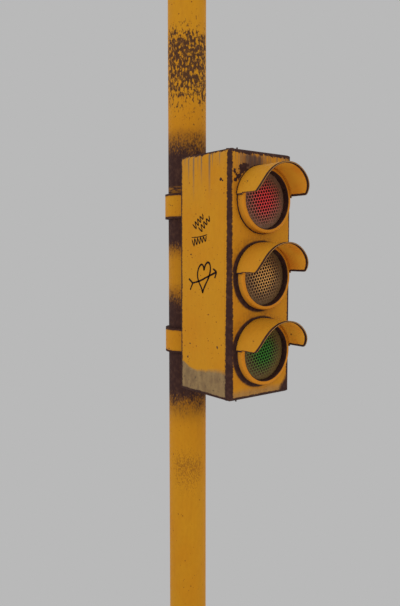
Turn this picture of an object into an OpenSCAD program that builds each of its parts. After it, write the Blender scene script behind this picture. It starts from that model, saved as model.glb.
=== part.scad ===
// Three-lens signal head on a round steel pole.
// +Z is up and the lenses face -Y. The origin is on the pole's axis, at the underside of the base plate.

/* [Head] */
// Width of the signal head
head_w = 273; // [268:1:290]
// Depth of the signal head, door included
head_d = 267; // [260:1:290]
// Height of the signal head
head_h = 800; // [790:1:840]
// Height of the head's underside above the ground
clearance = 2100; // [2000:10:2400]
// Radius on every outside edge of the head
edge_r = 18; // [12:1:18]
// Thickness of the casing and door walls
wall = 3; // [2.5:0.5:3]

/* [Door] */
// Depth of the door, from its front face to the seam
door_d = 24; // [24:0.5:26]
// Gap at the seam between the door and the casing
seam_gap = 0.6; // [0.4:0.1:1]
// Radius of the hinge pins
pin_r = 3; // [2.5:0.5:3.5]
// Radial clearance of a hinge pin in its knuckle
pin_play = 0.05; // [0.02:0.01:0.1]

/* [Lenses] */
// Distance between neighbouring lens centres
pitch = 246; // [240:1:250]
// How far the middle lens sits below the middle of the head
lens_drop = 2; // [0:0.5:4]
// Outside radius of the ring around each lens
bezel_r = 106.5; // [104:0.5:107]
// Inside radius of the ring around each lens
bezel_bore_r = 93; // [92:0.5:94]
// How far the ring stands out of the door
bezel_h = 26; // [20:1:30]
// Radius of the visible lens
lens_r = 92; // [90:0.5:92]
// Height of the lens rim above the door face
lens_rim_h = 5; // [3:0.5:8]
// Rise of the lens from its rim to its crown
lens_sag = 6; // [4:0.5:10]

/* [Visors] */
// Thickness of the visor wall
visor_t = 4.4; // [3:0.1:5]
// Length of the visor along its crown
visor_l = 123; // [110:1:140]
// Length of the visor's straight bottom edges
visor_skirt_l = 92; // [80:1:100]
// Height of the visor's bottom edges above the lens centre
visor_skirt_h = 16; // [12:1:20]
// How much lower the visor's sleeve reaches around the ring
visor_tab_h = 5; // [3:1:8]

/* [Pole] */
// Outside diameter of the pole
pole_d = 139.7; // [139.7]
// Wall thickness of the pole
pole_wall = 5; // [4:0.5:6]
// Height of the pole's top end above the ground
pole_top = 3590; // [3300:10:3800]
// Clear distance between the pole and the back of the head
head_gap = 65; // [60:1:70]

/* [Clamps] */
// Height of each clamp
clamp_h = 90; // [80:1:100]
// Wall thickness of each clamp
clamp_t = 12; // [10:0.5:14]
// Radial clearance of the clamps on the pole
clamp_play = 0.08; // [0.03:0.01:0.1]

/* [Base] */
// Side of the square base plate
base_w = 360; // [350:5:400]
// Thickness of the base plate
base_t = 20; // [16:1:25]
// Distance between neighbouring anchor holes
anchor_pitch = 260; // [250:5:270]
// Radius of the anchor holes
anchor_r = 13; // [11:0.5:14]

/* [Hidden] */
$fn = 96;
paint = [0.72, 0.50, 0.14];
bright = [0.75, 0.76, 0.78];
dark = [0.12, 0.11, 0.11];
lens_colours = [[0.78, 0.16, 0.18], [0.80, 0.62, 0.38], [0.12, 0.45, 0.15]];
arc_steps = 8;          // straight facets in each quarter of a rounded outline
fit = 0.3;              // gap between neighbouring pieces that only locate each other

pole_r = pole_d / 2;
pole_bore_r = pole_r - pole_wall;
clamp_r = pole_r + clamp_play + clamp_t;
back_y = -(pole_r + head_gap);
front_y = back_y - head_d;
seam_y = front_y + door_d;
inner_back_y = back_y - wall;
mid_y = (front_y + back_y) / 2;
head_bottom = clearance;
head_top = clearance + head_h;
head_mid = clearance + head_h / 2;
lens_z = [for (i = [1, 0, -1]) head_mid - lens_drop + i * pitch];

opening_r = bezel_bore_r + 3.8;     // holes in the door, behind the rings
flange_r = bezel_bore_r + 7;        // hidden flange of each lens
visor_bore_r = bezel_r + fit;
visor_r = visor_bore_r + visor_t;

hinge_r = 6;
hinge_x = head_w / 2 + hinge_r + 0.5;
hinge_half = 22;                    // half the height of one hinge
hinge_split = 10;                   // half the height of the door's own knuckle

lip_w = 9;
pan_d = 8;                          // depth of the casing's back pan and of its two end pans

latch_reach = 26;                   // from the latch's pivot to its keeper
latch_x = -head_w / 2 + 42;
latch_y = seam_y + 18;
latch_pivot_r = 4;
keeper_r = 2.5;

carrier_depth = 34;                 // front face of the lamp carrier, behind the door face
carrier_t = 2.5;
carrier_screw_x = 112;
lug_d = 14;                         // depth of the lugs that hold the carrier
carrier_screw_z = [lens_z[0] + 100, lens_z[1], lens_z[2] - 100];
bowl_r = 82;                        // mouth of the reflector bowl
neck_r = 18;                        // neck of the reflector bowl
bowl_depth = 70;
bowl_t = 1.6;
neck_depth = carrier_depth + bowl_depth;
holder_depth = neck_depth + 12;     // flange of the lampholder
holder_end = holder_depth + 29;

clip_angles = [45, 135, 225, 315];
clip_post_r = bezel_r + 2;          // circle of the lens clips' posts
visor_screw_angles = [20, 90, 160];
visor_screw_h = 15;                 // height of the visor screws above the door face

block_w = 90;
block_d = 24;
block_h = 28;
block_z = (lens_z[1] + lens_z[2]) / 2;

flange_w = 110;
flange_t = 8;
arm_h = 44;
bracket_bolt = [42, 32];            // bracket bolts, from the middle of the flange
clamp_slot = 8;
ear_t = 12;
ear_l = 26;
clamp_bolt_y = clamp_r + 14;
clamp_bolt_z = 22;

hub_y = mid_y;
hub_r = 24;
gland_at = [70, back_y - 85];
gland_bore_r = 6;

cover_z = 610;
cover_screw_z = 118;
cap_screw_drop = 14;
grommet_z = lens_z[1];

// Outline of a rectangle centred on the origin, its corners rounded to r
function rounded_rect(w, h, r) = [
    for (q = [0:3], i = [0:arc_steps])
        let (a = 90 * q + 90 * i / arc_steps)
            [(q == 0 || q == 3 ? 1 : -1) * (w / 2 - r) + r * cos(a),
             (q < 2 ? 1 : -1) * (h / 2 - r) + r * sin(a)]
];

// Point at t, from 0 to 1, on the cubic curve with control points p
function curve(p, t) = pow(1 - t, 3) * p[0] + 3 * t * pow(1 - t, 2) * p[1]
    + 3 * t * t * (1 - t) * p[2] + pow(t, 3) * p[3];

function unit(v) = v / norm(v);

// Tube of radius r along a path that never runs straight along X
module sweep_tube(path, r, sides) {
    n = len(path);
    function along(k) = unit(path[min(k + 1, n - 1)] - path[max(k - 1, 0)]);
    function across(k) = unit(cross(along(k), [1, 0, 0]));
    rings = [for (k = [0:n - 1], s = [0:sides - 1])
        let (u = across(k), v = cross(along(k), u), a = 360 * s / sides)
            path[k] + r * (cos(a) * u + sin(a) * v)];
    walls = [for (k = [0:n - 2], s = [0:sides - 1])
        let (a = k * sides + s, b = k * sides + (s + 1) % sides)
            each [[a, b, b + sides], [a, b + sides, a + sides]]];
    polyhedron(rings, concat(walls,
        [[for (s = [sides - 1:-1:0]) s]], [[for (s = [0:sides - 1]) (n - 1) * sides + s]]));
}

// Solid box with every edge rounded, centred on the origin
module rounded_box(w, d, h, r) {
    intersection() {
        linear_extrude(h + 2, center = true) polygon(rounded_rect(w, d, r));
        rotate([90, 0, 0]) linear_extrude(d + 2, center = true) polygon(rounded_rect(w, h, r));
        rotate([90, 0, 90]) linear_extrude(w + 2, center = true) polygon(rounded_rect(d, h, r));
    }
}

// The head's outer form, made smaller all round by inset
module head_form(inset) {
    translate([0, mid_y, head_mid])
        rounded_box(head_w - 2 * inset, head_d - 2 * inset, head_h - 2 * inset, edge_r - inset);
}

// Everything between two planes square to Y
module slab(y0, y1) {
    translate([-head_w, y0, head_bottom - 50]) cube([2 * head_w, y1 - y0, head_h + 100]);
}

// Upright rectangular frame or plate between two planes square to Y
module upright_plate(w, h, r, y0, y1) {
    translate([0, y1, head_mid]) rotate([90, 0, 0]) linear_extrude(y1 - y0) polygon(rounded_rect(w, h, r));
}

// Local frame of lens i: x right, y up, z out of the door's face
module at_lens(i) {
    translate([0, front_y, lens_z[i]]) rotate([90, 0, 0]) children();
}

// Local frame of a latch: z away from the head's top (side 1) or its underside (side -1)
module at_latch(side) {
    translate([latch_x, latch_y, side > 0 ? head_top : head_bottom])
        mirror([0, 0, side > 0 ? 0 : 1]) children();
}

module at_keeper(side) {
    at_latch(side) translate([0, -latch_reach, 0]) children();
}

module at_hinge(i) {
    translate([hinge_x, seam_y, lens_z[i]]) children();
}

// Local frame of one visor screw: z along the screw, outwards
module at_visor_screw(i, a) {
    at_lens(i) rotate([0, 0, a]) translate([0, 0, visor_screw_h]) rotate([0, 90, 0]) children();
}

module at_carrier_screws() {
    for (side = [-1, 1], z = carrier_screw_z)
        translate([side * carrier_screw_x, front_y + carrier_depth, z]) rotate([-90, 0, 0]) children();
}

// Places of the bolts that hold bracket i on the casing, z towards the pole
module at_bracket_bolts(i) {
    for (x = [-1, 1], z = [-1, 1])
        translate([x * bracket_bolt[0], inner_back_y, lens_z[i] + z * bracket_bolt[1]])
            rotate([-90, 0, 0]) children();
}

// Places of the bolts that close clamp i, z along the bolt
module at_clamp_bolts(i) {
    for (z = [-1, 1])
        translate([0, clamp_bolt_y, lens_z[i] + z * clamp_bolt_z]) rotate([0, 90, 0]) children();
}

module hexagon(across_corners_r, h) {
    cylinder(h = h, r = across_corners_r, $fn = 6);
}

// ---- Pole ----

module pole_tube() {
    color(paint) difference() {
        translate([0, 0, base_t]) cylinder(h = pole_top - base_t, r = pole_r);
        translate([0, 0, base_t - 1]) cylinder(h = pole_top - base_t + 2, r = pole_bore_r);
        translate([0, pole_r + 10, cover_z]) rotate([90, 0, 0])
            linear_extrude(50) polygon(rounded_rect(84, 200, 30));
        for (z = [-1, 1])
            translate([0, 50, cover_z + z * cover_screw_z]) rotate([-90, 0, 0]) cylinder(h = 30, r = 3.2, $fn = 32);
        for (a = [30, 150, 270])
            rotate([0, 0, a]) translate([55, 0, pole_top - cap_screw_drop]) rotate([0, 90, 0])
                cylinder(h = 20, r = 2.7, $fn = 32);
        translate([0, -50, grommet_z]) rotate([90, 0, 0]) cylinder(h = 30, r = 12, $fn = 48);
    }
}

module base_plate() {
    color(paint) difference() {
        linear_extrude(base_t) polygon(rounded_rect(base_w, base_w, 24));
        translate([0, 0, -1]) cylinder(h = base_t + 2, r = 55);
        for (x = [-1, 1], y = [-1, 1])
            translate([x * anchor_pitch / 2, y * anchor_pitch / 2, -1]) cylinder(h = base_t + 2, r = anchor_r, $fn = 48);
    }
}

module base_gussets() {
    gusset_l = base_w / 2 - 12;
    color(paint) difference() {
        for (a = [0:90:270])
            rotate([90, 0, a]) linear_extrude(10, center = true)
                polygon([[pole_r - 5, base_t], [gusset_l, base_t], [gusset_l, base_t + 12],
                         [pole_r + 14, base_t + 120], [pole_r - 5, base_t + 120]]);
        translate([0, 0, base_t - 1]) cylinder(h = 140, r = pole_r + 0.1);
    }
}

module hand_hole_cover() {
    color(paint) difference() {
        intersection() {
            translate([0, 0, cover_z - 140]) difference() {
                cylinder(h = 280, r = pole_r + 3.2);
                translate([0, 0, -1]) cylinder(h = 282, r = pole_r + 0.2);
            }
            translate([0, pole_r + 20, cover_z]) rotate([90, 0, 0])
                linear_extrude(60) polygon(rounded_rect(112, 268, 24));
        }
        for (z = [-1, 1])
            translate([0, 50, cover_z + z * cover_screw_z]) rotate([-90, 0, 0]) cylinder(h = 40, r = 3.2, $fn = 32);
    }
}

module cover_screws() {
    color(bright) for (z = [-1, 1])
        translate([0, pole_r + 3.4, cover_z + z * cover_screw_z]) rotate([90, 0, 0]) {
            cylinder(h = 16, r = 3, $fn = 32);
            difference() {
                translate([0, 0, -3.2]) cylinder(h = 3.2, r = 6, $fn = 48);
                translate([0, 0, -4]) hexagon(2.9, 2.6);
            }
        }
}

module pole_cap() {
    skirt_r = pole_bore_r - 0.35;
    color(paint) difference() {
        translate([0, 0, pole_top]) rotate_extrude()
            polygon(concat(
                [for (i = [0:8]) let (a = 90 - 10 * i) [(pole_r + 1.6) * cos(a), 12 * sin(a)]],
                [[pole_r + 1.6, 0], [skirt_r, 0], [skirt_r, -25], [skirt_r - 3, -25], [skirt_r - 3, -3], [0, -3]]));
        for (a = [30, 150, 270])
            rotate([0, 0, a]) translate([55, 0, pole_top - cap_screw_drop]) rotate([0, 90, 0])
                cylinder(h = 20, r = 2.7, $fn = 32);
    }
}

module cap_screws() {
    color(bright) for (a = [30, 150, 270])
        rotate([0, 0, a]) translate([pole_r - 10, 0, pole_top - cap_screw_drop]) rotate([0, 90, 0]) {
            cylinder(h = 11, r = 2.5, $fn = 32);
            difference() {
                translate([0, 0, 10.4]) cylinder(h = 2.8, r = 5, $fn = 48);
                translate([0, 0, 12]) hexagon(2.3, 2);
            }
        }
}

module pole_grommet() {
    color(dark) translate([0, -pole_r + 7, grommet_z]) rotate([90, 0, 0]) difference() {
        union() {
            cylinder(h = 10, r = 11.7, $fn = 48);
            translate([0, 0, 7.4]) cylinder(h = 3, r = 15, $fn = 48);
        }
        translate([0, 0, -1]) cylinder(h = 13, r = 8, $fn = 48);
    }
}

// ---- Clamps ----

// Split clamp with its arm and flange, one casting
module clamp(i) {
    color(paint) difference() {
        translate([0, 0, lens_z[i]]) union() {
            cylinder(h = clamp_h, r = clamp_r, center = true);
            for (side = [-1, 1])
                translate([side > 0 ? clamp_slot / 2 : -clamp_slot / 2 - ear_t, clamp_r - 8, -clamp_h / 2 + 5])
                    cube([ear_t, ear_l + 8, clamp_h - 10]);
            translate([0, 0, -arm_h / 2]) linear_extrude(arm_h)
                polygon([[-44, back_y + flange_t - 1], [44, back_y + flange_t - 1],
                         [30, back_y + 34], [30, -pole_r + 10], [-30, -pole_r + 10], [-30, back_y + 34]]);
            translate([0, back_y + flange_t, 0]) rotate([90, 0, 0])
                linear_extrude(flange_t) polygon(rounded_rect(flange_w, clamp_h, 8));
        }
        translate([0, 0, lens_z[i] - clamp_h]) cylinder(h = 2 * clamp_h, r = pole_r + clamp_play);
        translate([-clamp_slot / 2, pole_r - 10, lens_z[i] - clamp_h]) cube([clamp_slot, 60, 2 * clamp_h]);
        at_clamp_bolts(i) cylinder(h = 60, r = 5.3, center = true, $fn = 32);
        at_bracket_bolts(i) cylinder(h = 40, r = 4.3, $fn = 32);
    }
}

module clamp_bolts() {
    head_at = clamp_slot / 2 + ear_t;
    color(bright) for (i = [0, 2]) at_clamp_bolts(i) {
        translate([0, 0, -head_at - 11]) cylinder(h = 2 * head_at + 11.5, r = 5, $fn = 32);
        translate([0, 0, head_at]) hexagon(9.2, 6.4);
    }
}

module clamp_nuts() {
    color(bright) for (i = [0, 2]) at_clamp_bolts(i) translate([0, 0, -clamp_slot / 2 - ear_t - 8]) difference() {
        hexagon(9.2, 8);
        translate([0, 0, -1]) cylinder(h = 10, r = 5.1, $fn = 32);
    }
}

module bracket_bolts() {
    grip = wall + flange_t;
    color(bright) for (i = [0, 2]) at_bracket_bolts(i) {
        translate([0, 0, -5.3]) hexagon(7.5, 5.3);
        translate([0, 0, -1]) cylinder(h = grip + 10, r = 4, $fn = 32);
        translate([0, 0, grip]) hexagon(7.5, 6.5);
    }
}

// ---- Casing ----

// The casing's wall between two planes square to Y
module casing_wall(y0, y1) {
    difference() {
        intersection() {
            head_form(0);
            slab(y0, y1);
        }
        head_form(wall);
    }
}

// Everything in the head between its two end pans
module between_ends() {
    translate([-head_w, front_y, head_bottom + pan_d]) cube([2 * head_w, head_d, head_h - 2 * pan_d]);
}

module casing_back() {
    color(paint) difference() {
        casing_wall(back_y - pan_d, back_y + 1);
        for (i = [0, 2]) at_bracket_bolts(i) translate([0, 0, -1]) cylinder(h = wall + 2, r = 4.3, $fn = 32);
    }
}

module casing_sides() {
    color(paint) intersection() {
        casing_wall(seam_y + seam_gap / 2, back_y - pan_d);
        between_ends();
    }
}

module casing_ends() {
    color(paint) difference() {
        casing_wall(seam_y + seam_gap / 2, back_y - pan_d);
        between_ends();
        for (side = [-1, 1]) {
            at_latch(side) cylinder(h = 20, r = latch_pivot_r + 0.2, center = true, $fn = 48);
            translate([0, hub_y, side > 0 ? head_top : head_bottom]) cylinder(h = 20, r = hub_r, center = true);
        }
        translate([gland_at[0], gland_at[1], head_bottom - 1]) cylinder(h = wall + 2, r = 10.3, $fn = 48);
    }
}

// Frame inside the casing's mouth, for the door's gasket
module casing_lip() {
    front = seam_y + seam_gap / 2;
    color(paint) difference() {
        upright_plate(head_w - 2 * wall, head_h - 2 * wall, edge_r - wall, front, front + 2.5);
        upright_plate(head_w - 2 * (wall + lip_w), head_h - 2 * (wall + lip_w), 8, front - 1, front + 4);
    }
}

module casing_lugs() {
    color(paint) difference() {
        for (side = [-1, 1], z = carrier_screw_z)
            translate([side > 0 ? 106 : wall - head_w / 2, front_y + carrier_depth + carrier_t, z - 10])
                cube([head_w / 2 - wall - 106, lug_d, 20]);
        at_carrier_screws() cylinder(h = carrier_t + lug_d - 2, r = 2.2, $fn = 32);
    }
}

module casing_knuckles() {
    color(paint) for (i = [0:2]) at_hinge(i) for (side = [-1, 1]) difference() {
        translate([0, 0, side > 0 ? hinge_split + fit : -hinge_half]) {
            cylinder(h = hinge_half - hinge_split - fit, r = hinge_r, $fn = 48);
            translate([-hinge_r - 0.5, seam_gap, 0])
                cube([hinge_r + 0.5, hinge_r - 1.5, hinge_half - hinge_split - fit]);
        }
        cylinder(h = 3 * hinge_half, r = pin_r + pin_play, center = true, $fn = 48);
    }
}

// Blanking plug and lock nut of a pipe hub; z is away from the head
module hub_plug() {
    difference() {
        union() {
            cylinder(h = 7, r = 32);
            translate([0, 0, -14]) cylinder(h = 15, r = hub_r - 0.3);
        }
        translate([0, 0, -20]) cylinder(h = 18, r = 19);
        translate([-16, -2.5, 4]) cube([32, 5, 4]);
    }
    translate([0, 0, -wall - 7]) difference() {
        hexagon(33, 7);
        translate([0, 0, -1]) cylinder(h = 9, r = hub_r);
    }
}

module top_hub_plug() {
    color(bright) translate([0, hub_y, head_top]) hub_plug();
}

module bottom_hub_plug() {
    color(bright) translate([0, hub_y, head_bottom]) mirror([0, 0, 1]) hub_plug();
}

module cable_gland() {
    color(dark) translate([gland_at[0], gland_at[1], head_bottom]) difference() {
        union() {
            translate([0, 0, -8]) hexagon(15, 8);
            translate([0, 0, -22]) cylinder(h = 15, r = 11.5, $fn = 48);
            translate([0, 0, -1]) cylinder(h = wall + 9, r = 10, $fn = 48);
            translate([0, 0, wall]) hexagon(14, 5);
        }
        translate([0, 0, -23]) cylinder(h = wall + 34, r = gland_bore_r, $fn = 48);
    }
}

module hinge_pins() {
    color(bright) for (i = [0:2]) at_hinge(i) {
        translate([0, 0, -hinge_half - 4]) cylinder(h = 2 * hinge_half + 4.5, r = pin_r, $fn = 48);
        translate([0, 0, hinge_half + 0.3]) cylinder(h = 2.5, r = 5, $fn = 48);
        translate([0, 0, -hinge_half - 3]) difference() {
            cylinder(h = 1.2, r = 5, $fn = 48);
            translate([0, 0, -1]) cylinder(h = 4, r = pin_r - 0.5, $fn = 48);
        }
    }
}

module latch_pivots() {
    color(bright) for (side = [-1, 1]) at_latch(side) {
        translate([0, 0, -wall - 6]) cylinder(h = wall + 11, r = latch_pivot_r, $fn = 48);
        cylinder(h = 0.8, r = 7.5, $fn = 48);
        translate([0, 0, 3.9]) cylinder(h = 1.6, r = 7, $fn = 48);
        translate([0, 0, -wall - 5]) hexagon(8, 5);
    }
}

// ---- Lamp carrier ----

module lamp_carrier() {
    y0 = front_y + carrier_depth;
    color(bright) difference() {
        upright_plate(236, head_h - 26, 10, y0, y0 + carrier_t);
        for (i = [0:2]) at_lens(i) translate([0, 0, -carrier_depth - carrier_t - 1])
            cylinder(h = carrier_t + 2, r = bowl_r + bowl_t + 0.4);
        at_carrier_screws() translate([0, 0, -1]) cylinder(h = 5, r = 2.2, $fn = 32);
    }
}

module carrier_screws() {
    color(bright) at_carrier_screws() {
        translate([0, 0, -2.4]) cylinder(h = 2.4, r = 4.2, $fn = 32);
        translate([0, 0, -1]) cylinder(h = 13, r = 2, $fn = 32);
    }
}

module reflector(i) {
    steps = 12;
    radii = [for (k = [0:steps]) bowl_r + (neck_r - bowl_r) * k / steps];
    function depth(r) = carrier_depth + bowl_depth * (1 - (r * r - neck_r * neck_r) / (bowl_r * bowl_r - neck_r * neck_r));
    color(bright) at_lens(i) rotate_extrude() polygon(concat(
        [[bowl_r + 10, -carrier_depth], [bowl_r + 10, -carrier_depth + bowl_t], [bowl_r, -carrier_depth + bowl_t]],
        [for (r = radii) [r, -depth(r)]],
        [[neck_r, -holder_depth], [neck_r + bowl_t, -holder_depth]],
        [for (k = [steps:-1:0]) [radii[k] + bowl_t, -depth(radii[k])]]));
}

module lampholder(i) {
    color(dark) at_lens(i) rotate_extrude() polygon([
        [13.2, -neck_depth + 4], [neck_r - 0.6, -neck_depth + 4], [neck_r - 0.6, -holder_depth],
        [neck_r + 4, -holder_depth], [neck_r + 4, -holder_depth - 4], [15, -holder_depth - 4],
        [15, -holder_end], [0, -holder_end], [0, -holder_end + 15], [13.2, -holder_end + 15]]);
}

module lamp(i) {
    bulb_r = 24;
    bulb_depth = neck_depth - 32;
    color([0.9, 0.88, 0.8]) at_lens(i) rotate_extrude() polygon(concat(
        [for (a = [0:15:135]) [bulb_r * sin(a), -bulb_depth + bulb_r * cos(a)]],
        [[12.5, -neck_depth + 5], [13, -neck_depth + 3], [13, -holder_end + 18], [4, -holder_end + 15.5],
         [0, -holder_end + 15.5]]));
}

module terminal_block() {
    ways = 6;
    color([0.85, 0.84, 0.8]) difference() {
        translate([-block_w / 2, inner_back_y - block_d, block_z - block_h / 2]) cube([block_w, block_d, block_h]);
        for (k = [0:ways - 1], row = [-1, 1])
            translate([(k - (ways - 1) / 2) * 14, inner_back_y - block_d - 1, block_z + row * 8])
                rotate([-90, 0, 0]) cylinder(h = 8, r = 3, $fn = 32);
    }
}

// One lead for each lampholder, from its back to the terminal block
module wiring() {
    block_front = inner_back_y - block_d;
    holder_back = front_y + holder_end;
    color(dark) for (i = [0:2]) {
        x = (i - 1) * 28;
        ends = [[0, holder_back, lens_z[i]], [0, holder_back + 62, lens_z[i]],
                [x, block_front - 45, block_z], [x, block_front, block_z]];
        sweep_tube([for (k = [0:14]) curve(ends, k / 14)], 3, 8);
    }
}

// ---- Door ----

module door_panel() {
    back = seam_y - seam_gap / 2;
    color(paint) difference() {
        union() {
            difference() {
                intersection() {
                    head_form(0);
                    slab(front_y - 1, back);
                }
                head_form(wall);
            }
            for (i = [0:2]) {
                at_lens(i) for (a = clip_angles)
                    rotate([0, 0, a]) translate([clip_post_r, 0, -wall - 4]) cylinder(h = 5, r = 5, $fn = 32);
                at_hinge(i) translate([0, 0, -hinge_split]) {
                    cylinder(h = 2 * hinge_split, r = hinge_r, $fn = 48);
                    translate([-hinge_r - 1.5, -hinge_r + 0.5, 0]) cube([hinge_r + 1.5, hinge_r - 1, 2 * hinge_split]);
                }
            }
        }
        for (i = [0:2]) {
            at_lens(i) {
                translate([0, 0, -wall - 1]) cylinder(h = wall + 2, r = opening_r);
                for (a = clip_angles)
                    rotate([0, 0, a]) translate([clip_post_r, 0, -wall - 5]) cylinder(h = 6, r = 2.2, $fn = 32);
            }
            at_hinge(i) cylinder(h = 3 * hinge_half, r = pin_r + pin_play, center = true, $fn = 48);
        }
        for (side = [-1, 1]) at_keeper(side) cylinder(h = 20, r = keeper_r + 0.2, center = true, $fn = 32);
    }
}

module door_gasket() {
    gasket_w = 6;
    back = seam_y - 0.1;
    color(dark) difference() {
        upright_plate(head_w - 2 * wall - 0.4, head_h - 2 * wall - 0.4, edge_r - wall, back - 3.4, back);
        upright_plate(head_w - 2 * (wall + gasket_w), head_h - 2 * (wall + gasket_w), 9, back - 5, back + 1);
    }
}

module latch_keepers() {
    color(bright) for (side = [-1, 1]) at_keeper(side) {
        translate([0, 0, -wall - 3]) cylinder(h = wall + 6.9, r = keeper_r, $fn = 32);
        translate([0, 0, -wall - 3.6]) cylinder(h = 1.8, r = 4, $fn = 32);
    }
}

module lens_clips() {
    clip_t = 2;
    color(bright) for (i = [0:2], a = clip_angles) at_lens(i) rotate([0, 0, a]) {
        difference() {
            translate([flange_r - 5, -6, -wall - 4 - clip_t]) cube([clip_post_r - flange_r + 12, 12, clip_t]);
            translate([clip_post_r, 0, -20]) cylinder(h = 20, r = 2.2, $fn = 32);
        }
        translate([clip_post_r, 0, -wall - 4 - clip_t - 2.6]) cylinder(h = 2.6, r = 4, $fn = 32);
        translate([clip_post_r, 0, -wall - 4 - clip_t - 1]) cylinder(h = 8, r = 2, $fn = 32);
    }
}

// Ring around lens i, its front rounded on the outside and chamfered at the bore
module bezel(i) {
    chamfer = 1.5;
    round_r = 6;
    color(paint) difference() {
        at_lens(i) rotate_extrude() {
            polygon([
                [bezel_bore_r, -wall], [opening_r - fit, -wall], [opening_r - fit, 0], [bezel_r, 0],
                [bezel_r, bezel_h - round_r], [bezel_r - round_r, bezel_h],
                [bezel_bore_r + chamfer, bezel_h], [bezel_bore_r, bezel_h - chamfer]]);
            translate([bezel_r - round_r, bezel_h - round_r]) circle(r = round_r);
        }
        for (a = visor_screw_angles)
            at_visor_screw(i, a) translate([0, 0, 80]) cylinder(h = 40, r = 2.2, $fn = 32);
    }
}

// Rounded bottom corner of the visor, then its front edge up to its crown: forwards, up
visor_corner = [for (p = [[-5.5, 0], [-2.2, 0.6], [0.6, 2], [3, 4]]) [visor_skirt_l, visor_skirt_h] + p];
visor_front = [[visor_skirt_l, visor_skirt_h], [visor_skirt_l + 30, visor_skirt_h + 33],
               [visor_l - 7, visor_r - 38], [visor_l, visor_r]];

module visor(i) {
    tab_h = visor_skirt_h - visor_tab_h;
    side_outline = concat([[0, visor_r + 5], [0, tab_h], [bezel_h, tab_h], [bezel_h, visor_skirt_h]],
        visor_corner, [for (k = [1:16]) curve(visor_front, k / 16)], [[visor_l, visor_r + 5]]);
    color(paint) difference() {
        at_lens(i) intersection() {
            difference() {
                cylinder(h = visor_l + 5, r = visor_r, $fn = 128);
                translate([0, 0, -1]) cylinder(h = visor_l + 7, r = visor_bore_r, $fn = 128);
            }
            rotate([0, -90, 0]) linear_extrude(3 * visor_r, center = true) polygon(side_outline);
        }
        for (a = visor_screw_angles)
            at_visor_screw(i, a) translate([0, 0, visor_bore_r - 3]) cylinder(h = 6, r = 2.2, $fn = 32);
    }
}

module visor_screws() {
    head_at = bezel_bore_r - 0.1;
    color(bright) for (i = [0:2], a = visor_screw_angles) at_visor_screw(i, a) {
        translate([0, 0, head_at - 1.8]) cylinder(h = 1.8, r = 4, $fn = 32);
        translate([0, 0, head_at - 1]) cylinder(h = visor_bore_r - head_at + 3.5, r = 2, $fn = 32);
    }
}

module lens(i) {
    steps = 10;
    glass_t = 4;
    inner_r = lens_r - glass_t;
    rim_back = -wall - 4;
    color(lens_colours[i]) at_lens(i) rotate_extrude() polygon(concat(
        [for (k = [0:steps]) let (f = k / steps) [lens_r * f, lens_rim_h + lens_sag * (1 - f * f)]],
        [[lens_r, -wall - 1], [flange_r, -wall - 1], [flange_r, rim_back], [inner_r, rim_back]],
        [for (k = [steps:-1:0]) let (f = k / steps) [inner_r * f, lens_rim_h - glass_t + lens_sag * (1 - f * f)]]));
}

module lens_gasket(i) {
    color(dark) at_lens(i) translate([0, 0, -wall - 1]) difference() {
        cylinder(h = 1, r = flange_r);
        translate([0, 0, -1]) cylinder(h = 3, r = bezel_bore_r + 0.2);
    }
}

// ---- Latches ----

// Quarter-turn lever, open at rest: it points along +X and closes towards -Y
module latch(side) {
    bottom = 1;
    thick = 2.6;
    color(bright) at_latch(side) translate([0, 0, bottom]) difference() {
        union() {
            cylinder(h = thick, r = 8, $fn = 48);
            translate([0, -5, 0]) cube([latch_reach - 2, 10, thick]);
            translate([latch_reach - 6, -7, 0]) cube([12, 16, thick]);
            translate([-20, -4, 0]) cube([20, 8, thick]);
        }
        translate([0, 0, -1]) cylinder(h = thick + 2, r = latch_pivot_r + 0.05, $fn = 48);
        translate([0, 0, -1]) intersection() {
            difference() {
                cylinder(h = thick + 2, r = latch_reach + 3);
                translate([0, 0, -1]) cylinder(h = thick + 4, r = latch_reach - 3);
            }
            translate([0, -40, 0]) cube([40, 43, thick + 2]);
        }
    }
}

pole_tube();
base_plate();
base_gussets();
hand_hole_cover();
cover_screws();
pole_cap();
cap_screws();
pole_grommet();
clamp(0);  // upper_clamp
clamp(2);  // lower_clamp
clamp_bolts();
clamp_nuts();
bracket_bolts();
casing_back();
casing_sides();
casing_ends();
casing_lip();
casing_lugs();
casing_knuckles();
top_hub_plug();
bottom_hub_plug();
cable_gland();
hinge_pins();
latch_pivots();
lamp_carrier();
carrier_screws();
terminal_block();
wiring();
reflector(0);  // reflector_red
reflector(1);  // reflector_amber
reflector(2);  // reflector_green
lampholder(0);  // lampholder_red
lampholder(1);  // lampholder_amber
lampholder(2);  // lampholder_green
lamp(0);  // lamp_red
lamp(1);  // lamp_amber
lamp(2);  // lamp_green
door_panel();
door_gasket();
latch_keepers();
lens_clips();
visor_screws();
bezel(0);  // bezel_red
bezel(1);  // bezel_amber
bezel(2);  // bezel_green
visor(0);  // visor_red
visor(1);  // visor_amber
visor(2);  // visor_green
lens(0);  // lens_red
lens(1);  // lens_amber
lens(2);  // lens_green
lens_gasket(0);  // gasket_red
lens_gasket(1);  // gasket_amber
lens_gasket(2);  // gasket_green
latch(1);  // latch_top
latch(-1);  // latch_bottom
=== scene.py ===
# The looks of a weathered three-lens signal head on a round steel pole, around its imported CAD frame.
# All lengths are in metres, in the frame's own axes: +Z up, the lenses facing -Y.
import math
import random

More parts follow.
